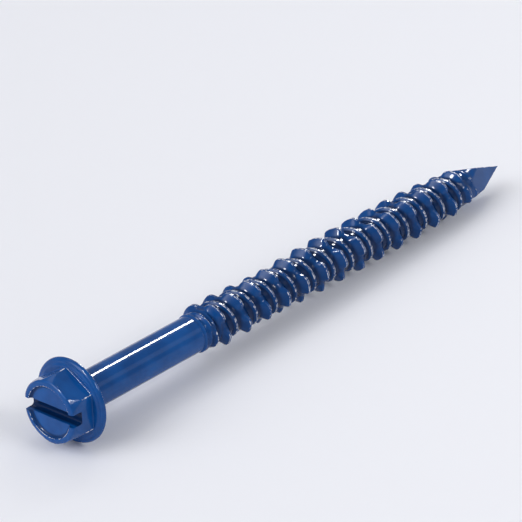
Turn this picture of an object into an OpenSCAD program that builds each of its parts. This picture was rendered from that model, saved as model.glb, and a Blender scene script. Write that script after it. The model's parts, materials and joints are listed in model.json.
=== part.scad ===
// Hex washer head concrete screw, one forged and rolled piece of steel.
// It lies on the floor as it comes to rest: on the rim of its washer and on its thread.
// The head is towards -X and the point towards +X. The origin is under the middle of its length.

/* [Length] */

// From the washer's bearing face to the tip
under_head_length = 82.55; // [70:0.05:88]
// From the bearing face to the shoulder where the thread begins
smooth_length = 20.6; // [17:0.1:32]
// Smooth shank diameter
shank_d = 4.83; // [4.75:0.01:5.6]
// Radius of the fillet between shank and bearing face
neck_fillet_r = 0.9; // [0.9:0.05:1.4]
// Chamfer on the shoulder, along the screw
shoulder_chamfer = 0.2; // [0.1:0.05:0.5]

/* [Head] */

// Hex width across its flats
hex_across_flats = 7.94; // [7.5:0.02:8.4]
// From the bearing face to the top of the head
head_h = 4.15; // [4:0.05:5.5]
// Radius of the curve that rounds the hex corners off towards the rim
corner_round_r = 7.5; // [6:0.1:10]
// Length of that curve along the screw, up to the widest place of the rim
corner_round_l = 2.65; // [1.8:0.05:2.8]
// Raised rim round the dish in the top, widest diameter
rim_d = 8.12; // [8:0.02:8.3]
// Raised rim, diameter over its top
rim_top_d = 7.24; // [7:0.02:7.6]
// Height of the rim above its widest place
rim_h = 0.3; // [0.2:0.02:0.5]
// Height of the flare from the hex flats out to the widest place of the rim
rim_flare_h = 0.35; // [0.2:0.05:0.6]
// Dish in the top, diameter at its mouth
dish_d = 6.72; // [6.2:0.02:6.9]
// Dish in the top, diameter of its flat floor
dish_floor_d = 6; // [4.5:0.05:6.1]
// Depth of the dish below the rim
dish_depth = 0.4; // [0.2:0.05:0.8]
// Width of the driver slot
slot_w = 1.6; // [1.2:0.05:2]
// Depth of the driver slot below the rim
slot_depth = 1.5; // [1.2:0.05:2.4]

/* [Washer] */

// Washer diameter
washer_d = 10.96; // [10.6:0.02:12]
// Thickness of the washer at its rounded rim
washer_rim_h = 0.65; // [0.45:0.01:0.8]
// Radius of the washer's edge at the bearing face
washer_edge_r = 0.15; // [0.1:0.01:0.25]
// Width of the round on the washer's head side
washer_round_w = 0.5; // [0.2:0.01:0.55]
// Further rise from the rim to the foot of the hex
washer_rise = 0.17; // [0.1:0.01:0.4]
// Narrow level ledge left round the foot of the hex at its corners
ledge_w = 0.06; // [0.02:0.01:0.12]

/* [Thread] */

// Advance of both threads in one turn
lead = 3.75; // [3.6:0.05:4.4]
// Diameter over the high thread
high_d = 6.54; // [6.2:0.02:6.6]
// Diameter over the high thread just before each notch
worn_d = 6.12; // [5.8:0.02:6.5]
// Diameter over the bottoms of the notches
notch_d = 5.1; // [4.9:0.02:5.7]
// Diameter over the low thread
low_d = 5.3; // [4.9:0.02:5.6]
// Diameter at the root of both threads
root_d = 4.5; // [4.2:0.02:4.7]
// Width of the high thread's crest along the screw
high_crest_w = 0.28; // [0.2:0.02:0.5]
// Width of each flank of the high thread along the screw
high_flank_w = 0.68; // [0.4:0.02:0.8]
// Width of the low thread's crest along the screw
low_crest_w = 0.22; // [0.12:0.02:0.4]
// Width of each flank of the low thread along the screw
low_flank_w = 0.28; // [0.15:0.01:0.35]
// Turn of the high thread about the screw, measured at the bearing face
thread_turn = 2; // [0:1:359]
// Place of the first notch, in tenths of the way from one notch to the next
notch_shift = 3; // [0:1:9]
// Length over which both threads rise from the shoulder
thread_rise_length = 3; // [1.4:0.1:5]
// Length over which both threads fade into the point
thread_fade_length = 5; // [3:0.1:7]
// From the tip to where both threads have faded away
thread_fade_end = 6.4; // [5.5:0.1:8]

/* [Point] */

// Slope of the point's four flats against the axis
point_angle = 15.4; // [13:0.1:19]
// Turn of the point's edges against the slot
point_turn = 22; // [0:1:89]

/* [Rest] */

// Turn of the screw about its own axis as it lies
roll_angle = 86; // [0:1:359]

/* [Hidden] */

$fn = 96;
// Overlap where one shape runs into another
lap = 0.2;
// Straight pieces in each rounded corner of a turned outline
arc_steps = 6;
// The corner curve starts this far outside the hex corners
corner_clear = 0.03;

shank_r = shank_d / 2;
washer_r = washer_d / 2;
rim_r = rim_d / 2;
rim_top_r = rim_top_d / 2;
dish_r = dish_d / 2;
dish_floor_r = dish_floor_d / 2;
hex_flat_r = hex_across_flats / 2;
hex_sides = 6;
hex_corner_r = hex_flat_r / cos(180 / hex_sides);
hex_foot_z = -washer_rim_h - washer_rise;

// The rim is widest here, and the corner curve ends and starts here
rim_wide_z = rim_h - head_h;
corner_round_z = rim_wide_z + corner_round_l;
corner_round_angle = asin(corner_round_l / corner_round_r);

// Steps of the thread in one turn, and from one notch to the next
turn_steps = 41;
notch_steps = 10;
step_angle = 360 / turn_steps;
step_z = lead / turn_steps;

high_r = high_d / 2;
worn_r = worn_d / 2;
notch_r = notch_d / 2;
low_r = low_d / 2;
root_r = root_d / 2;

// The shoulder takes the shank half way down to the thread root
shoulder_r = (shank_r + root_r) / 2;

// Widths along one lead: high thread, root, low thread, root
high_w = high_crest_w + 2 * high_flank_w;
low_w = low_crest_w + 2 * low_flank_w;
root_w = (lead - high_w - low_w) / 2;

// Foot of each flank and edge of each crest along one lead
low_z = high_w + root_w;
profile_z = [
    0,
    high_flank_w,
    high_flank_w + high_crest_w,
    high_w,
    low_z,
    low_z + low_flank_w,
    low_z + low_flank_w + low_crest_w,
    low_z + low_w
];
profile_n = len(profile_z);

// The threaded rod starts a full lead inside the shank and runs just past the tip
rod_start_z = smooth_length - lead - 2 * lap;
rod_steps = ceil((under_head_length + lap - rod_start_z) / step_z);
rod_turn = thread_turn + 360 * (rod_start_z + high_w / 2) / lead;

// Share of full height at a distance along the screw
function share(x) = max(0, min(1, x));
function rise(z) = share((z - smooth_length + lap) / thread_rise_length);
function fade(z) = share((under_head_length - thread_fade_end - z) / thread_fade_length);

// Crest of the high thread from one notch to the next: a step up, a level run, a worn end and a level notch
level_start = 2;
level_end = 6;
function crest_at(i) =
    i >= level_start && i <= level_end ? high_r :
    i == level_start - 1 ? (high_r + notch_r) / 2 :
    i == level_end + 1 ? worn_r :
    notch_r;
function crest_r(j) = crest_at((j + notch_shift) % notch_steps);

// Radius and place of one point of the thread profile at step j
function full_r(j, k) =
    (k == 1 || k == 2) ? crest_r(j) :
    (k == 5 || k == 6) ? low_r :
    root_r;
function rod_z(j, k) = rod_start_z + j * step_z + profile_z[k];
function rod_r(j, k) = root_r + (full_r(j, k) - root_r) * rise(rod_z(j, k)) * fade(rod_z(j, k));
function rod_point(j, k) = [
    rod_r(j, k) * cos(rod_turn + j * step_angle),
    rod_r(j, k) * sin(rod_turn + j * step_angle),
    rod_z(j, k)
];

// Number of a point in the rod's list: the far end of a profile is the near end one turn on
function rod_id(j, k) = k == profile_n ? (j + turn_steps) * profile_n : j * profile_n + k;

// Points on a circular arc of a turned outline
function arc(cx, cy, r, from, to) = [
    for (i = [0 : arc_steps])
        let (a = from + (to - from) * i / arc_steps)
            [cx + r * cos(a), cy + r * sin(a)]
];

// Points on a quarter ellipse that leaves p along the screw and meets q square to it
function bow(p, q) = [
    for (i = [0 : arc_steps])
        let (a = 90 * i / arc_steps)
            [q.x + (p.x - q.x) * cos(a), p.y + (q.y - p.y) * sin(a)]
];

// An outline run the other way
function round_back(points) = [for (i = [len(points) - 1 : -1 : 0]) points[i]];

// Rest: the tilt that brings the washer's rim and the last full crest down to the floor
last_crest_z = under_head_length - thread_fade_end - thread_fade_length;
rest_tilt = asin((washer_r - high_r) / (last_crest_z + washer_edge_r));
rest_lift = washer_r * cos(rest_tilt) - washer_edge_r * sin(rest_tilt);
tip_x = under_head_length * cos(rest_tilt);
head_x = -head_h * cos(rest_tilt) - rim_top_r * sin(rest_tilt);

// Threaded rod as one closed skin, wound from the shoulder to past the tip
module threaded_rod() {
    body = [for (j = [0 : rod_steps + turn_steps]) for (k = [0 : profile_n - 1]) rod_point(j, k)];
    n = len(body);
    low_end = [0, 0, rod_start_z + lead / 2];
    high_end = [0, 0, rod_start_z + rod_steps * step_z + lead / 2];
    skin = [
        for (j = [0 : rod_steps - 1])
            for (k = [0 : profile_n - 1])
                each [
                    [rod_id(j, k), rod_id(j, k + 1), rod_id(j + 1, k)],
                    [rod_id(j, k + 1), rod_id(j + 1, k + 1), rod_id(j + 1, k)]
                ]
    ];
    low_cap = concat(
        [for (j = [0 : turn_steps - 1]) [n, rod_id(j, 0), rod_id(j + 1, 0)]],
        [for (k = [0 : profile_n - 1]) [n, rod_id(0, k + 1), rod_id(0, k)]]
    );
    high_cap = concat(
        [for (j = [0 : turn_steps - 1]) [n + 1, rod_id(rod_steps + j + 1, 0), rod_id(rod_steps + j, 0)]],
        [for (k = [0 : profile_n - 1]) [n + 1, rod_id(rod_steps, k), rod_id(rod_steps, k + 1)]]
    );
    polyhedron(concat(body, [low_end, high_end]), concat(skin, low_cap, high_cap));
}

// Wedge with two flats that meet in an edge across the tip
module point_wedge() {
    reach = under_head_length - rod_start_z + lead;
    half = reach * tan(point_angle);
    translate([0, 0, under_head_length])
        rotate([90, 0, 0])
            linear_extrude(height = 2 * half, center = true)
                polygon([[0, 0], [-half, -reach], [half, -reach]]);
}

// Thread and core, cut to a four-sided point
module threaded_end() {
    intersection() {
        threaded_rod();
        rotate([0, 0, point_turn + 45])
            point_wedge();
        rotate([0, 0, point_turn - 45])
            point_wedge();
    }
}

// Washer, neck fillet and smooth shank, turned as one
module washer_and_shank() {
    hex_inside_r = hex_flat_r - lap;
    rotate_extrude()
        polygon(concat(
            [
                [0, hex_foot_z - lap],
                [hex_inside_r, hex_foot_z - lap],
                [hex_inside_r, hex_foot_z],
                [hex_corner_r + ledge_w, hex_foot_z]
            ],
            round_back(bow([washer_r, -washer_edge_r], [washer_r - washer_round_w, -washer_rim_h])),
            arc(washer_r - washer_edge_r, -washer_edge_r, washer_edge_r, 90 / arc_steps, 90),
            arc(shank_r + neck_fillet_r, neck_fillet_r, neck_fillet_r, 270, 180),
            [
                [shank_r, smooth_length - shoulder_chamfer],
                [shoulder_r, smooth_length],
                [0, smooth_length]
            ]
        ));
}

// Turned outline that rounds the corners of the hex off towards the rim
module corner_round() {
    lean = corner_round_r - hex_corner_r - corner_clear;
    rotate_extrude()
        polygon(concat(
            [
                [0, 0],
                [hex_corner_r + lap, 0]
            ],
            arc(-lean, corner_round_z, corner_round_r, 0, -corner_round_angle),
            [
                [dish_r, -head_h + rim_h / 2],
                [0, -head_h + rim_h / 2]
            ]
        ));
}

// Raised rim, turned as a full disc
module rim() {
    rotate_extrude()
        polygon(concat(
            [
                [0, rim_wide_z + rim_flare_h],
                [hex_flat_r - lap, rim_wide_z + rim_flare_h]
            ],
            bow([rim_r, rim_wide_z], [rim_top_r, -head_h]),
            [[0, -head_h]]
        ));
}

// Dish in the top, with a round wall down to a flat floor
module dish() {
    rotate_extrude()
        polygon(concat(
            [
                [0, -head_h - lap],
                [dish_r, -head_h - lap]
            ],
            bow([dish_r, -head_h], [dish_floor_r, dish_depth - head_h]),
            [[0, dish_depth - head_h]]
        ));
}

// Hex with a rim, a dish and a driver slot from flat to flat
module hex_head() {
    difference() {
        union() {
            intersection() {
                translate([0, 0, -head_h])
                    rotate([0, 0, 180 / hex_sides])
                        cylinder(h = head_h - lap, r = hex_corner_r, $fn = hex_sides);
                corner_round();
            }
            rim();
        }
        dish();
        translate([-washer_r, -slot_w / 2, -head_h - lap])
            cube([washer_d, slot_w, slot_depth + lap]);
    }
}

module concrete_screw() {
    color("#1f4f92")
        translate([-(tip_x + head_x) / 2, 0, rest_lift])
            rotate([0, 90 + rest_tilt, 0])
                rotate([0, 0, roll_angle])
                    union() {
                        washer_and_shank();
                        hex_head();
                        threaded_end();
                    }
}

concrete_screw();
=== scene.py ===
import json
import math

import bmesh
import bpy
import numpy as np
from mathutils import Matrix, Vector


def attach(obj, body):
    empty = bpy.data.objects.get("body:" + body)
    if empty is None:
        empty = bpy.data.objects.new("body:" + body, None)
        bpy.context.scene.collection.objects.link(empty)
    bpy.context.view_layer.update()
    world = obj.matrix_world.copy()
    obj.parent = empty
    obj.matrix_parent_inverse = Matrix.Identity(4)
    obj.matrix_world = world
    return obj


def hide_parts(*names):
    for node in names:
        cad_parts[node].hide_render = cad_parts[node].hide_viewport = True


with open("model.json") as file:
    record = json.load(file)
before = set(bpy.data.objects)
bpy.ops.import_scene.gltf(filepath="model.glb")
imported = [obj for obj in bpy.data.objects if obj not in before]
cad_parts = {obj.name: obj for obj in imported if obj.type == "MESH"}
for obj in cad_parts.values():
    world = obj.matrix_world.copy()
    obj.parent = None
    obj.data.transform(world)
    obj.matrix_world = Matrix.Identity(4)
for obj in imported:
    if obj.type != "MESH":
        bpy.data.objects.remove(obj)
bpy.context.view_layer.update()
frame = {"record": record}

bl_info = {
    "name": "Concrete Screw",
    "version": (1, 0, 0),
    "blender": (4, 5, 0),
    "location": "View3D > Sidebar > Concrete Screw",
    "description": "Blue painted hex washer head concrete screw, lying on a pale floor",
    "category": "Add Mesh",
}

NODE = "concrete_screw"
WEAR_AND_GLINT = "wear_and_glint_share"
PAINTED_SHADE = "painted_shade_share"
MOUNTS = {m["name"]: m for m in frame["record"]["mounts"]}
SAME_POINT = 2e-7
NO_LENGTH = 1e-8
CUT_WELD = 1e-6
SHARP_ANGLE = math.radians(38)
LAMP_TARGET = Vector((0.0, 0.0, 0.004))


def length(name, description, default):
    """A size in metres that a user may change."""
    return bpy.props.FloatProperty(
        name=name,
        description=description,
        default=default,
        min=0.0,
        precision=5,
        unit="LENGTH",
        subtype="DISTANCE",
    )


def angle(name, description, degrees):
    """An angle that a user may change."""
    return bpy.props.FloatProperty(
        name=name, description=description, default=math.radians(degrees), unit="ROTATION", subtype="ANGLE"
    )


def colour(name, description, default):
    """A linear colour that a user may change."""
    return bpy.props.FloatVectorProperty(
        name=name, description=description, default=default, min=0.0, max=1.0, size=3, subtype="COLOR"
    )


def share(name, description, default):
    """A share from none to all."""
    return bpy.props.FloatProperty(
        name=name, description=description, default=default, min=0.0, max=1.0, subtype="FACTOR"
    )


def number(name, description, default, least=0.0):
    """A plain number that a user may change."""
    return bpy.props.FloatProperty(name=name, description=description, default=default, min=least)


class ScrewHeadSizes(bpy.types.PropertyGroup):
    """Sizes of the hex, its dish and slot, the washer and the smooth shank."""

    hex_flats: length("Hex across flats", "Width of the hex from flat to flat", 0.00794)
    head_height: length("Head height", "From the bearing face to the top of the rim", 0.00415)
    corner_radius: length("Corner curve", "Radius of the curve that rounds the hex corners off", 0.0075)
    corner_length: length("Corner curve length", "Length of that curve, up to the widest rim", 0.00265)
    corner_clear: length("Corner clearance", "How far outside the corners that curve starts", 0.00003)
    rim: length("Rim", "Widest diameter of the raised rim", 0.00812)
    rim_top: length("Rim top", "Diameter over the top of the raised rim", 0.00724)
    rim_height: length("Rim height", "From the widest place of the rim to its top", 0.0003)
    rim_flare: length("Rim flare", "From the hex flats out to the widest place of the rim", 0.00035)
    rim_inset: length("Rim inset", "How deep inside the flats the flare starts", 0.0002)
    dish_mouth: length("Dish mouth", "Diameter of the dish at the rim", 0.00672)
    dish_floor: length("Dish floor", "Diameter of the flat floor of the dish", 0.006)
    dish_depth: length("Dish depth", "From the rim to the floor of the dish", 0.0004)
    slot_width: length("Slot width", "Width of the driver slot", 0.0016)
    slot_depth: length("Slot depth", "From the rim to the floor of the slot", 0.0015)
    washer: length("Washer", "Diameter of the washer", 0.01096)
    washer_rim: length("Washer rim", "Thickness of the washer at its rounded rim", 0.00065)
    washer_edge: length("Washer edge", "Radius of the edge at the bearing face", 0.00015)
    washer_round: length("Washer round", "Width of the round on the head side", 0.0005)
    washer_rise: length("Washer rise", "Further rise to the foot of the hex", 0.00017)
    ledge: length("Ledge", "Level ledge round the corners of the hex", 0.00006)
    shank: length("Shank", "Diameter of the smooth shank", 0.00483)
    smooth: length("Smooth length", "From the bearing face to the shoulder", 0.0206)
    shoulder: length("Shoulder", "Length of the slope between the shank and the thread", 0.00012)
    shoulder_band: length("Shoulder band", "From the shoulder to the even part of the shank", 0.0002)
    neck: length("Neck fillet", "Fillet between the shank and the bearing face", 0.0009)
    foot_fillet: length("Foot fillet", "Fillet between the hex and the washer", 0.00011)
    soft_edge: length("Soft edge", "Width over which paint rounds an edge", 0.00006)


class ScrewThreadSizes(bpy.types.PropertyGroup):
    """Sizes of the two threads and the point."""

    under_head: length("Length under head", "From the bearing face to the tip", 0.08255)
    lead: length("Lead", "Advance of both threads in one turn", 0.00375)
    high: length("High thread", "Diameter over the high thread", 0.00654)
    worn: length("Before a notch", "Diameter over the high thread just before a notch", 0.00612)
    notch: length("Notch", "Diameter over the bottom of a notch", 0.0051)
    low: length("Low thread", "Diameter over the low thread", 0.0053)
    root: length("Root", "Diameter at the root of both threads", 0.0045)
    high_crest: length("High crest", "Width of the high crest along the screw", 0.00028)
    high_flank: length("High flank", "Width of each high flank along the screw", 0.00068)
    low_crest: length("Low crest", "Width of the low crest along the screw", 0.00022)
    low_flank: length("Low flank", "Width of each low flank along the screw", 0.00028)
    early: length("Early start", "How far before the shoulder the threads start to rise", 0.0002)
    rise: length("Thread rise", "Length over which the threads rise from the shoulder", 0.003)
    fade: length("Thread fade", "Length over which the threads fade into the point", 0.005)
    fade_end: length("Fade end", "From the tip to where the threads have faded away", 0.0064)
    fine_pitch: length("Fine pitch", "Pitch of the fine rolled lines where the threads start", 0.00087)
    fine_height: length("Fine height", "Height of those lines", 0.00025)
    fine_lines: number("Fine lines", "About how many of those lines there are", 4.5)
    overlap: length("Overlap", "How far the threaded rod goes on inside the shank, past a turn", 0.0015)
    turn: angle("Thread turn", "Turn of the high thread at the bearing face", 2)
    first_notch: length("First notch", "From the bearing face to the first notch in the high thread", 0.02248)
    notches: number("Notches", "Notches in one turn", 4.1, least=1.0)
    point_slope: angle("Point slope", "Slope of the flats of the point against the axis", 15.4)
    point_turn: angle("Point turn", "Turn of the edges of the point against the slot", 22)
    roll: angle("Roll", "Turn of the whole screw as it lies", 86)


class ScrewPaint(bpy.types.PropertyGroup):
    """Colours and finish of the paint."""

    blue: colour("Blue", "Full colour of the paint", (0.004, 0.079, 0.30))
    deep_blue: colour("Deep blue", "Where paint lies thick", (0.0022, 0.052, 0.21))
    # Painted shade: this dark blue is laid in the thread roots, behind the crests, in the slot and at the
    # foot of the dish wall
    painted_shade_blue: colour("Hollow blue", "Where paint gathers in roots, slot and dish", (0.0012, 0.017, 0.072))
    # Partly worn paint, partly painted highlight: pale flecks along sharp edges in place of glints
    fleck_and_glint: colour("Fleck", "Pale flecks where paint is worn off an edge", (0.88, 0.91, 0.95))
    gloss: share("Roughness", "Roughness of the paint under its gloss", 0.14)


class ScrewStage(bpy.types.PropertyGroup):
    """Floor, light and camera."""

    floor: colour("Floor", "Colour of the floor", (0.88, 0.885, 0.925))
    eye_turn: angle("Camera turn", "Turn of the camera round the screw", -49.02)
    eye_lift: angle("Camera lift", "Height of the camera above the floor as an angle", 30.21)
    eye_distance: length("Camera distance", "From the camera to the point it looks at", 0.41594)
    aim_x: length("Aim along", "Point looked at, along the screw from the bearing face", 0.04605)
    aim_y: length("Aim across", "Point looked at, across the screw", 0.01068)
    lens: number("Lens", "Focal length of the camera in millimetres", 220.69)
    air: colour("Air", "Colour of the light all round", (0.96, 0.97, 1.0))
    air_level: number("Air level", "Strength of the light all round", 0.42)
    glow_level: number("Glow level", "Strength of the light at the middle of its glow", 6.2)
    glow_focus: number("Glow focus", "How closely the glow gathers round its middle", 18)


def soft_min(a, b, k):
    """The smaller of two lengths, with the corner rounded over k."""
    h = np.clip(0.5 + 0.5 * (b - a) / k, 0.0, 1.0)
    return b * (1 - h) + a * h - k * h * (1 - h)


def soft_max(a, b, k):
    """The larger of two lengths, with the corner rounded over k."""
    return -soft_min(-np.asarray(a), -np.asarray(b), k)


def eased(x):
    """A share that starts and ends gently."""
    x = np.clip(x, 0.0, 1.0)
    return x * x * (3 - 2 * x)


def arc(cx, cz, r, start, stop, steps):
    """Points on a circular arc of a turned outline."""
    a = np.radians(np.linspace(start, stop, steps + 1))
    return np.stack([cx + r * np.cos(a), cz + r * np.sin(a)], axis=1)


def rounded(points, passes):
    """An outline with its corners cut, its ends kept."""
    p = np.asarray(points, float)
    for _ in range(passes):
        q = np.empty((2 * len(p) - 2, 2))
        q[0::2] = 0.75 * p[:-1] + 0.25 * p[1:]
        q[1::2] = 0.25 * p[:-1] + 0.75 * p[1:]
        p = np.vstack([p[:1], q, p[-1:]])
    return p


def head_columns(per_side):
    """Angles round the head, closer together at the hex corners."""
    crowding = 1.8
    x = np.linspace(-1, 1, per_side + 1)[:-1]
    inside = np.sign(x) * (1 - (1 - np.abs(x)) ** crowding)
    return np.radians(np.concatenate([60 * i + 30 * inside for i in range(6)]))


def hex_radius(turn, flat, k):
    """Distance from the axis to the hex, corners rounded over k."""
    local = (turn + math.pi / 6) % (math.pi / 3) - math.pi / 6
    other = np.abs(local) - math.pi / 3
    return soft_min(flat / np.cos(local), flat / np.cos(other), k)


def bow(r0, z0, r1, z1, steps):
    """Quarter ellipse that leaves the first point along the screw and meets the second square to it."""
    a = np.radians(np.linspace(0, 90, steps + 1))
    return [(r1 + (r0 - r1) * np.cos(x), z0 + (z1 - z0) * np.sin(x)) for x in a]


def head_rows(s, t, turn):
    """Radius and height of every row of the head and shank skin, from the shank's end to the dish."""
    flat = s.hex_flats / 2
    corner = flat / math.cos(math.pi / 6)
    washer = s.washer / 2
    foot = -(s.washer_rim + s.washer_rise)
    top = -s.head_height
    shank = s.shank / 2
    k = s.soft_edge
    one = np.ones_like(turn)

    # Shank from its shoulder, neck fillet, bearing face and the washer's rounded rim
    shoulder = (shank + t.root / 2) / 2
    turned = [(shoulder, s.smooth)]
    turned += [(shank, s.smooth - s.shoulder)]
    turned += [(shank, z) for z in np.linspace(s.smooth - s.shoulder_band, s.neck, 8)[:-1]]
    turned += list(arc(shank + s.neck, s.neck, s.neck, 180, 270, 12))
    turned += [(r, 0.0) for r in np.linspace(shank + s.neck, washer - s.washer_edge, 6)[1:-1]]
    turned += list(arc(washer - s.washer_edge, -s.washer_edge, s.washer_edge, 90, 0, 8))
    rim_in = washer - s.washer_round
    turned += bow(washer, -s.washer_edge, rim_in, -s.washer_rim, 12)[1:]
    rows = [(r * one, z * one) for r, z in turned]

    # Washer top: a slope, a narrow ledge and a small fillet up to the hex
    side_foot = hex_radius(turn, flat, k)
    fillet = s.foot_fillet
    inner = side_foot + fillet

    def washer_top(r):
        slope = (r - corner - s.ledge) / (rim_in - corner - s.ledge)
        return soft_max(foot, foot + s.washer_rise * slope, 0.5 * k)

    for f in np.linspace(0, 1, 9)[1:]:
        r = rim_in + (inner - rim_in) * f
        rows.append((r, washer_top(r)))
    base = washer_top(inner)
    for a in np.radians(np.linspace(0, 90, 6))[1:]:
        rows.append((inner - fillet * np.sin(a), base - fillet * (1 - np.cos(a))))

    # Hex side under the corner curve, flared out to the rim
    rim = s.rim / 2
    wide = top + s.rim_height
    start = base - fillet
    for f in np.linspace(0, 1, 40)[1:]:
        z = start + (wide - start) * f
        drop = np.maximum(wide + s.corner_length - z, 0.0)
        curve = corner + s.corner_clear - s.corner_radius + np.sqrt(s.corner_radius**2 - drop**2)
        flare = rim - (z - wide) * (rim - flat + s.rim_inset) / s.rim_flare
        rows.append((soft_max(soft_min(side_foot, curve, k), flare, 0.6 * k), z))

    # Rim, dish wall and dish floor
    widest = rows[-1][0]
    floor = s.dish_floor / 2
    for r, z in bow(widest, wide, s.rim_top / 2, top, 9)[1:]:
        rows.append((r * one, z * one))
    mouth = bow(s.dish_mouth / 2, top, floor, top + s.dish_depth, 8)
    lip = rounded([(s.rim_top / 2, top)] + mouth + [(0.8 * floor, top + s.dish_depth)], 2)
    rows += [(r * one, z * one) for r, z in lip[1:]]
    rows += [(f * floor * one, (top + s.dish_depth) * one) for f in (0.6, 0.3, 0.05)]
    return rows


def head_skin(s, t):
    """Closed skin of the washer, hex and shank as points and faces."""
    turn = head_columns(per_side=40)
    rows = head_rows(s, t, turn)
    n = len(turn)
    points = [np.stack([r * np.cos(turn), r * np.sin(turn), z], axis=1) for r, z in rows]
    faces = []
    for i in range(len(rows) - 1):
        a, b = i * n, (i + 1) * n
        for j in range(n):
            j2 = (j + 1) % n
            faces.append((a + j, b + j, b + j2, a + j2))
    faces.append(tuple(range(n)))
    last = (len(rows) - 1) * n
    faces.append(tuple(last + j for j in reversed(range(n))))
    return np.vstack(points), faces


def slot_cutter(s):
    """Closed bar that cuts the driver slot, its mouth eased by the paint."""
    top = -s.head_height
    half = s.slot_width / 2
    floor = top + s.slot_depth
    lip = top + s.dish_depth
    ease = 0.5 * s.soft_edge
    above = top - 0.001
    mouth = half + ease
    side = rounded([(0.0, floor), (half, floor), (half, lip + 2 * ease), (mouth, lip), (mouth, above)], 2)
    outline = np.vstack([side, side[::-1] * (-1, 1)])[:-1]
    n = len(outline)
    reach = s.washer
    points = [(x, y, z) for x in (-reach, reach) for y, z in outline]
    faces = [(j, (j + 1) % n, n + (j + 1) % n, n + j) for j in range(n)]
    faces += [tuple(reversed(range(n))), tuple(range(n, 2 * n))]
    return np.array(points), faces


def lead_stations(t):
    """Places along one lead at which the thread is sampled, measured from the high crest."""
    half = t.lead / 2
    crest, foot = t.high_crest / 2, t.high_crest / 2 + t.high_flank
    low_foot = half - t.low_crest / 2 - t.low_flank
    right = np.concatenate(
        [
            [0.5 * crest, 0.85 * crest],
            crest + t.high_flank * np.array([0.03, 0.12, 0.3, 0.5, 0.7, 0.9]),
            np.linspace(foot + 0.06 * t.high_flank, low_foot - 0.1 * t.low_flank, 6),
            low_foot + t.low_flank * np.array([0.2, 0.5, 0.8, 1.0]),
        ]
    )
    return np.concatenate([[-half], -right[::-1], [0.0], right])


def thread_skin(s, t):
    """Closed skin of the threaded rod and its point, wound along the thread."""
    steps = 88
    k = s.soft_edge
    half = t.lead / 2
    offsets = lead_stations(t)
    tip = t.under_head
    step = 2 * math.pi / steps
    start_z = s.smooth - t.lead - t.overlap

    # Columns stand on the edges of the point
    first = t.turn + 2 * math.pi * start_z / t.lead
    first = t.point_turn + step * math.ceil((first - t.point_turn) / step)
    count = int(math.ceil((tip + half - (first - t.turn) * t.lead / (2 * math.pi)) / (t.lead / steps)))
    winding = first + step * np.arange(count + steps + 1)
    crest_z = (winding - t.turn) * t.lead / (2 * math.pi)
    z = crest_z[:, None] + offsets[None, :]
    turn = np.repeat(winding[:, None], len(offsets), axis=1)
    across = np.repeat(offsets[None, :], len(winding), axis=0)

    # Crest of the high thread from one notch to the next: step up, level run, worn end and notch
    spacing = 2 * math.pi / t.notches
    origin = t.turn + 2 * math.pi * t.first_notch / t.lead
    place = ((turn - origin) / spacing) % 1.0
    high, worn, notch = t.high / 2, t.worn / 2, t.notch / 2
    level_start, level_end, worn_at, notch_at = 0.2, 0.6, 0.7, 0.8
    crest = np.interp(
        place, [0, level_start, level_end, worn_at, notch_at, 1], [notch, high, high, worn, notch, notch]
    )

    # Two ridges on a root
    root = t.root / 2
    rise = np.clip((z - s.smooth + t.early) / t.rise, 0, 1) * np.clip((tip - t.fade_end - z) / t.fade, 0, 1)
    high_share = np.clip((t.high_crest / 2 + t.high_flank - np.abs(across)) / t.high_flank, 0, 1)
    low_share = np.clip((t.low_crest / 2 + t.low_flank - (half - np.abs(across))) / t.low_flank, 0, 1)
    high_share = 0.8 * high_share + 0.2 * eased(high_share)
    low_share = 0.8 * low_share + 0.2 * eased(low_share)
    ridges = soft_max(high_share * (crest - root), low_share * (t.low / 2 - root), 0.5 * k)
    r = root + rise * ridges

    # Fine rolled lines where the threads start
    line_start, line_end, line_dip = 0.0003, 0.001, 0.4
    past = z - s.smooth + 0.1 * t.fine_pitch
    fine = np.sin(math.pi * past / t.fine_pitch) ** 2
    fine = fine * eased(past / line_start) * eased((t.fine_lines * t.fine_pitch - past) / line_end)
    r = r + t.fine_height * fine * (1 - line_dip * high_share)

    # Four flats of the point
    face = (turn - t.point_turn) % (math.pi / 2) - math.pi / 4
    flats = np.maximum(tip - z, 0.0) * math.tan(t.point_slope) / np.cos(face)
    r = np.where(flats < r + k, soft_min(r, flats, 0.3 * k), r)
    r = np.maximum(r, 0.0)
    z = np.minimum(z, tip)

    m = len(offsets)
    points = np.stack([r * np.cos(turn), r * np.sin(turn), z], axis=2).reshape(-1, 3)
    index = np.arange(len(winding) * m).reshape(len(winding), m)
    ring = np.concatenate([index[:-steps], index[steps:, :1]], axis=1)
    a, b, c, d = ring[:-1, :-1], ring[:-1, 1:], ring[1:, 1:], ring[1:, :-1]
    faces = [tuple(int(v) for v in q) for q in np.stack([a, b, c, d], axis=2).reshape(-1, 4)]

    # Hidden end inside the shank
    inner = len(points)
    points = np.vstack([points, [[0.0, 0.0, crest_z[0]]]])
    loop = list(index[: steps + 1, 0]) + list(ring[0, ::-1][1:-1])
    for p, q in zip(loop, loop[1:] + loop[:1]):
        faces.append((int(p), int(q), inner))
    return points, faces


def mesh_object(name, points, faces):
    """A mesh object from points and faces, its doubled points merged and its normals outward."""
    mesh = bpy.data.meshes.new(name)
    mesh.from_pydata([tuple(p) for p in points], [], faces)
    bm = bmesh.new()
    bm.from_mesh(mesh)
    bmesh.ops.remove_doubles(bm, verts=bm.verts, dist=SAME_POINT)
    bmesh.ops.dissolve_degenerate(bm, dist=NO_LENGTH, edges=bm.edges)
    loose = [v for v in bm.verts if not v.link_faces]
    bmesh.ops.delete(bm, geom=loose, context="VERTS")
    bmesh.ops.recalc_face_normals(bm, faces=bm.faces)
    bm.to_mesh(mesh)
    bm.free()
    made = bpy.data.objects.new(name, mesh)
    bpy.context.scene.collection.objects.link(made)
    return made


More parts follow.
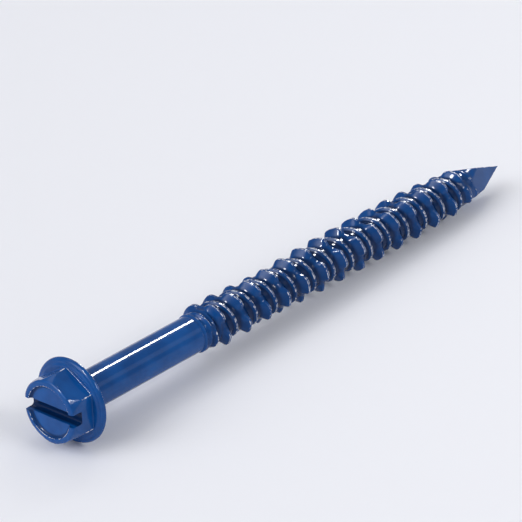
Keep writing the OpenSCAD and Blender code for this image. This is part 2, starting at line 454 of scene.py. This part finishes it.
def points_and_normals(mesh):
    """Places and normals of all points of a mesh."""
    both = []
    for kind in ("co", "normal"):
        values = np.empty(3 * len(mesh.vertices))
        mesh.vertices.foreach_get(kind, values)
        both.append(values.reshape(-1, 3))
    return both


def mark_wear_and_glint(mesh, s):
    """Stores how sharply the skin bends outward at each point, from none to all, the slot left out; it sets
    the pale flecks, partly worn paint and partly painted highlight.
    """
    first_bend, full_bend = 1500, 7000
    hex_fleck_gain, rim_fleck_gain = 2.2, 0.6
    shortest = 2e-5
    points, normals = points_and_normals(mesh)
    n = len(points)
    ends = np.empty(2 * len(mesh.edges), dtype=np.int64)
    mesh.edges.foreach_get("vertices", ends)
    ends = ends.reshape(-1, 2)
    total, count = np.zeros(n), np.zeros(n)
    for here, there in ((ends[:, 0], ends[:, 1]), (ends[:, 1], ends[:, 0])):
        run = points[here] - points[there]
        bend = 2 * np.sum(normals[here] * run, axis=1) / np.maximum(np.sum(run * run, axis=1), shortest**2)
        np.add.at(total, here, bend)
        np.add.at(count, here, 1)
    bend = total / np.maximum(count, 1)
    z = points[:, 2]
    outside = (np.abs(points[:, 1]) > 0.6 * s.slot_width) | (z > 0)
    on_rim = z < 1.5 * s.rim_height - s.head_height
    on_hex = (z < -s.washer_rim - s.washer_rise - s.soft_edge) & ~on_rim
    fleck_gain = np.where(on_hex, hex_fleck_gain, np.where(on_rim, rim_fleck_gain, 1.0))
    layer = mesh.attributes.new(WEAR_AND_GLINT, "FLOAT", "POINT")
    layer.data.foreach_set("value", outside * eased((fleck_gain * bend - first_bend) / (full_bend - first_bend)))


def mark_painted_shade(mesh, s, t):
    """Stores painted shade at each point, from how deep it lies in thread, slot or dish: most on flanks that
    face the point, and the whole thread a little darker.
    """
    mid_reach, lean = 0.5, 0.3
    thread_least, wall_most = 0.28, 0.8
    points, normals = points_and_normals(mesh)
    x, y, z = points.T
    from_axis = np.hypot(x, y)
    reach = mid_reach + lean * np.clip(1.5 * normals[:, 2], -1, 1)
    root, high = t.root / 2, t.high / 2
    depth = eased(1 - (from_axis - root) / (reach * (high - root)))
    threaded = eased((z - s.smooth) / t.rise) * eased((t.under_head - t.fade_end - z) / t.fade)
    inside = (np.abs(y) < 0.51 * s.slot_width) & (z < s.slot_depth - s.head_height + s.soft_edge)
    sunk = inside * eased((z + s.head_height - s.dish_depth) / (s.slot_depth - s.dish_depth) * 2)
    wall_middle = (s.dish_floor + s.dish_mouth) / 4
    wall_width = (s.dish_mouth - s.dish_floor) / 2.4
    wall = (z < 1.1 * s.dish_depth - s.head_height) * eased(1 - np.abs(from_axis - wall_middle) / wall_width)
    dark = np.maximum(threaded * (thread_least + (1 - thread_least) * depth), sunk)
    layer = mesh.attributes.new(PAINTED_SHADE, "FLOAT", "POINT")
    layer.data.foreach_set("value", np.maximum(dark, wall_most * wall))


def drop_slivers(mesh):
    """Welds a cut skin and drops slivers: faces with no area and pairs that lie back to back."""
    bm = bmesh.new()
    bm.from_mesh(mesh)
    bmesh.ops.remove_doubles(bm, verts=bm.verts, dist=CUT_WELD)
    bmesh.ops.triangulate(bm, faces=[face for face in bm.faces if len(face.verts) > 4])
    bmesh.ops.dissolve_degenerate(bm, dist=CUT_WELD, edges=bm.edges)
    alike = {}
    for face in bm.faces:
        alike.setdefault(frozenset(face.verts), []).append(face)
    doubled = [face for faces in alike.values() if len(faces) > 1 for face in faces]
    bmesh.ops.delete(bm, geom=doubled, context="FACES_ONLY")
    bm.to_mesh(mesh)
    bm.free()


def cut_away(body, cutter):
    """Cuts one closed skin out of another and drops the cutter."""
    change = body.modifiers.new("slot", "BOOLEAN")
    change.operation = "DIFFERENCE"
    change.solver = "EXACT"
    change.object = cutter
    graph = bpy.context.evaluated_depsgraph_get()
    made = bpy.data.meshes.new_from_object(body.evaluated_get(graph))
    body.modifiers.clear()
    old = body.data
    body.data = made
    bpy.data.meshes.remove(old)
    bpy.data.objects.remove(cutter)
    drop_slivers(made)


def lay_down(t):
    """Places the screw on the floor: its axis and bearing face come from the frame."""
    face = MOUNTS["bearing_face"]
    axis = Vector(face["axis"])
    tilt = math.asin(-axis.z)
    centre = Matrix.Translation((face["pos_m"][0], 0.0, face["pos_m"][2]))
    return centre @ Matrix.Rotation(math.pi / 2 + tilt, 4, "Y") @ Matrix.Rotation(t.roll, 4, "Z")


def paint_material(p):
    """Glossy blue paint with orange peel, thick and thin places, painted shade in the hollows and pale flecks
    on edges, partly worn paint and partly painted highlight.
    """
    mat = bpy.data.materials.new("blue_gloss_paint")
    mat.use_nodes = True
    nodes, links = mat.node_tree.nodes, mat.node_tree.links
    shader = nodes["Principled BSDF"]
    shader.inputs["Metallic"].default_value = 0.0
    shader.inputs["IOR"].default_value = 1.5
    shader.inputs["Specular IOR Level"].default_value = 0.06
    shader.inputs["Coat Roughness"].default_value = 0.05

    where = nodes.new("ShaderNodeTexCoord")

    def noise(scale, detail, rough):
        made = nodes.new("ShaderNodeTexNoise")
        made.inputs["Scale"].default_value = scale
        made.inputs["Detail"].default_value = detail
        made.inputs["Roughness"].default_value = rough
        links.new(where.outputs["Object"], made.inputs["Vector"])
        return made

    def ramp(source, low, high, low_colour, high_colour):
        made = nodes.new("ShaderNodeValToRGB")
        made.color_ramp.elements[0].position = low
        made.color_ramp.elements[1].position = high
        made.color_ramp.elements[0].color = (*low_colour, 1)
        made.color_ramp.elements[1].color = (*high_colour, 1)
        links.new(source, made.inputs["Fac"])
        return made

    black, white = (0, 0, 0), (1, 1, 1)
    patches = noise(scale=260, detail=3, rough=0.55)
    grains = noise(scale=2600, detail=4, rough=0.7)
    smears = noise(scale=900, detail=4, rough=0.6)
    ripples = noise(scale=1500, detail=3, rough=0.5)
    cloud = ramp(patches.outputs["Fac"], 0.35, 0.7, tuple(p.deep_blue), tuple(p.blue))

    # Painted shade: dark blue in the thread roots, behind the crests, in the slot and at the foot of the dish
    # wall, and the whole thread a little darker
    painted_shade_node = nodes.new("ShaderNodeAttribute")
    painted_shade_node.attribute_name = PAINTED_SHADE
    shaded_paint = nodes.new("ShaderNodeMix")
    shaded_paint.data_type = "RGBA"
    shaded_paint.inputs["B"].default_value = (*p.painted_shade_blue, 1)
    links.new(painted_shade_node.outputs["Fac"], shaded_paint.inputs["Factor"])
    links.new(cloud.outputs["Color"], shaded_paint.inputs["A"])

    # Clear gloss on top, weaker in the hollows
    coat = nodes.new("ShaderNodeMapRange")
    coat.inputs["To Min"].default_value = 0.4
    coat.inputs["To Max"].default_value = 0.2
    links.new(painted_shade_node.outputs["Fac"], coat.inputs["Value"])
    links.new(coat.outputs["Result"], shader.inputs["Coat Weight"])

    # Pale flecks on the edges: partly paint worn off, partly painted highlight in place of glints
    edge = nodes.new("ShaderNodeAttribute")
    edge.attribute_name = WEAR_AND_GLINT
    fleck = nodes.new("ShaderNodeMath")
    fleck.operation = "MULTIPLY"
    links.new(edge.outputs["Fac"], fleck.inputs[0])
    spread = ramp(grains.outputs["Fac"], 0.43, 0.58, black, white)
    links.new(spread.outputs["Color"], fleck.inputs[1])
    pale_fleck = ramp(fleck.outputs["Value"], 0.12, 0.45, black, white)
    tone = nodes.new("ShaderNodeMix")
    tone.data_type = "RGBA"
    tone.inputs["B"].default_value = (*p.fleck_and_glint, 1)
    links.new(pale_fleck.outputs["Color"], tone.inputs["Factor"])
    links.new(shaded_paint.outputs["Result"], tone.inputs["A"])
    links.new(tone.outputs["Result"], shader.inputs["Base Color"])

    # Uneven roughness and a faint orange peel
    gloss = nodes.new("ShaderNodeMapRange")
    gloss.inputs["To Min"].default_value = p.gloss - 0.06
    gloss.inputs["To Max"].default_value = p.gloss + 0.08
    links.new(smears.outputs["Fac"], gloss.inputs["Value"])
    links.new(gloss.outputs["Result"], shader.inputs["Roughness"])

    peel = nodes.new("ShaderNodeBump")
    peel.inputs["Strength"].default_value = 0.04
    peel.inputs["Distance"].default_value = 0.00006
    links.new(ripples.outputs["Fac"], peel.inputs["Height"])
    links.new(peel.outputs["Normal"], shader.inputs["Normal"])
    return mat


class SCREW_OT_make_body(bpy.types.Operator):
    """Makes the screw as one piece: washer head with slot, shank, two threads and point"""

    bl_idname = "screw.make_body"
    bl_label = "Make the screw"

    def execute(self, context):
        s, t = context.scene.screw_head, context.scene.screw_thread
        head = mesh_object("screw_head", *head_skin(s, t))
        cut_away(head, mesh_object("slot_bar", *slot_cutter(s)))
        body = mesh_object("screw_body", *thread_skin(s, t))
        with context.temp_override(active_object=body, selected_editable_objects=[body, head]):
            bpy.ops.object.join()
        mark_wear_and_glint(body.data, s)
        mark_painted_shade(body.data, s, t)
        body.data.transform(lay_down(t))
        body.data.polygons.foreach_set("use_smooth", [True] * len(body.data.polygons))
        body.data.set_sharp_from_angle(angle=SHARP_ANGLE)
        body.data.materials.clear()
        body.data.materials.append(paint_material(context.scene.screw_paint))
        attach(body, "root")
        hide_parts(NODE)
        return {"FINISHED"}


def aim(camera, at):
    """Turns the camera to look at a point."""
    camera.rotation_mode = "QUATERNION"
    camera.rotation_quaternion = (at - camera.location).to_track_quat("-Z", "Y")


def soft_lamp(name, way, distance, wide, high, power):
    """A rectangular white lamp in the given direction, its width as near along the screw as it goes."""
    data = bpy.data.lights.new(name, "AREA")
    data.shape = "RECTANGLE"
    data.size, data.size_y = wide, high
    data.energy = power
    back = Vector(way).normalized()
    side = Vector(MOUNTS["bearing_face"]["axis"])
    side = (side - side.dot(back) * back).normalized()
    facing = Matrix((side, back.cross(side), back)).transposed().to_4x4()
    lamp = bpy.data.objects.new(name, data)
    lamp.matrix_world = Matrix.Translation(LAMP_TARGET + distance * back) @ facing
    bpy.context.scene.collection.objects.link(lamp)
    return lamp


class SCREW_OT_set_stage(bpy.types.Operator):
    """Sets the pale floor, soft lamps and the camera"""

    bl_idname = "screw.set_stage"
    bl_label = "Set the stage"

    def execute(self, context):
        scene = context.scene
        g = scene.screw_stage

        mat = bpy.data.materials.new("pale_floor")
        mat.use_nodes = True
        shader = mat.node_tree.nodes["Principled BSDF"]
        shader.inputs["Base Color"].default_value = (*g.floor, 1)
        shader.inputs["Roughness"].default_value = 0.7
        shader.inputs["Specular IOR Level"].default_value = 0.2
        # A wide level sheet, so that its edges stay out of the picture
        half = 3
        corners = [(-half, -half, 0), (half, -half, 0), (half, half, 0), (-half, half, 0)]
        floor = mesh_object("pale_floor_sheet", corners, [(0, 1, 2, 3)])
        floor.data.materials.append(mat)

        world = bpy.data.worlds.new("studio_air")
        world.use_nodes = True
        nodes, links = world.node_tree.nodes, world.node_tree.links
        sky = nodes["Background"]
        sky.inputs["Color"].default_value = (*g.air, 1)

        # The air glows softly brighter towards the left, past the head
        glow_way = Vector((-0.77, 0.26, 0.58)).normalized()
        where = nodes.new("ShaderNodeTexCoord")
        toward = nodes.new("ShaderNodeVectorMath")
        toward.operation = "DOT_PRODUCT"
        toward.inputs[1].default_value = glow_way
        links.new(where.outputs["Generated"], toward.inputs[0])
        near = nodes.new("ShaderNodeMapRange")
        links.new(toward.outputs["Value"], near.inputs["Value"])
        glow = nodes.new("ShaderNodeMath")
        glow.operation = "POWER"
        glow.inputs[1].default_value = g.glow_focus
        links.new(near.outputs["Result"], glow.inputs[0])
        level = nodes.new("ShaderNodeMapRange")
        level.inputs["To Min"].default_value = g.air_level
        level.inputs["To Max"].default_value = g.glow_level
        links.new(glow.outputs["Value"], level.inputs["Value"])
        links.new(level.outputs["Result"], sky.inputs["Strength"])
        scene.world = world

        # The line on the shank and the glints on edges come from lamps that show only in the gloss
        gloss_lamps = (
            soft_lamp("key_strip", (0.672, 0.284, 0.685), distance=0.55, wide=0.15, high=0.07, power=3.1),
            soft_lamp("glint_lamp", (-0.72, 0.02, 0.69), distance=0.60, wide=0.10, high=0.10, power=2.4),
            soft_lamp("spark_lamp", (0.04, -0.745, 0.665), distance=0.90, wide=0.10, high=0.08, power=1.4),
        )
        for lamp in gloss_lamps:
            lamp.visible_diffuse = False
        soft_lamp("front_lamp", (0.10, -0.75, 0.65), distance=0.90, wide=0.30, high=0.30, power=1.9)
        soft_lamp("back_lamp", (0.25, 0.60, 0.76), distance=0.90, wide=0.30, high=0.30, power=0.3)
        soft_lamp("sheen_sheet", (0.68, -0.567, 0.465), distance=0.60, wide=0.30, high=0.20, power=0.12)

        face = MOUNTS["bearing_face"]["pos_m"]
        target = Vector((face[0] + g.aim_x, g.aim_y, 0.0))
        back = Vector(
            (
                math.sin(g.eye_turn) * math.cos(g.eye_lift),
                -math.cos(g.eye_turn) * math.cos(g.eye_lift),
                math.sin(g.eye_lift),
            )
        )
        data = bpy.data.cameras.new("photo_camera")
        data.sensor_width = 36.0
        data.lens = g.lens
        data.clip_start, data.clip_end = 0.01, 20.0
        camera = bpy.data.objects.new("photo_camera", data)
        camera.location = target + g.eye_distance * back
        scene.collection.objects.link(camera)
        aim(camera, target)
        scene.camera = camera

        scene.view_settings.view_transform = "Standard"
        return {"FINISHED"}


class SCREW_PT_panel(bpy.types.Panel):
    """Lists the sizes and colours, and the steps that make the screw and its stage"""

    bl_idname = "SCREW_PT_panel"
    bl_label = "Concrete Screw"
    bl_space_type = "VIEW_3D"
    bl_region_type = "UI"
    bl_category = "Concrete Screw"

    def draw(self, context):
        for group, step in (
            ("screw_head", None),
            ("screw_thread", None),
            ("screw_paint", SCREW_OT_make_body),
            ("screw_stage", SCREW_OT_set_stage),
        ):
            values = getattr(context.scene, group)
            column = self.layout.column(align=True)
            for key in values.__annotations__:
                column.prop(values, key)
            if step:
                column.operator(step.bl_idname)


GROUPS = {
    "screw_head": ScrewHeadSizes,
    "screw_thread": ScrewThreadSizes,
    "screw_paint": ScrewPaint,
    "screw_stage": ScrewStage,
}
CLASSES = (*GROUPS.values(), SCREW_OT_make_body, SCREW_OT_set_stage, SCREW_PT_panel)


def register():
    """Makes the classes known and hangs the sizes and colours on the scene."""
    for cls in CLASSES:
        bpy.utils.register_class(cls)
    for name, cls in GROUPS.items():
        setattr(bpy.types.Scene, name, bpy.props.PointerProperty(type=cls))


def unregister():
    """Takes back what register does."""
    for name in GROUPS:
        delattr(bpy.types.Scene, name)
    for cls in reversed(CLASSES):
        bpy.utils.unregister_class(cls)


def main():
    """Makes the screw and its stage."""
    register()
    bpy.ops.screw.make_body()
    bpy.ops.screw.set_stage()


if __name__ == "__main__":
    main()
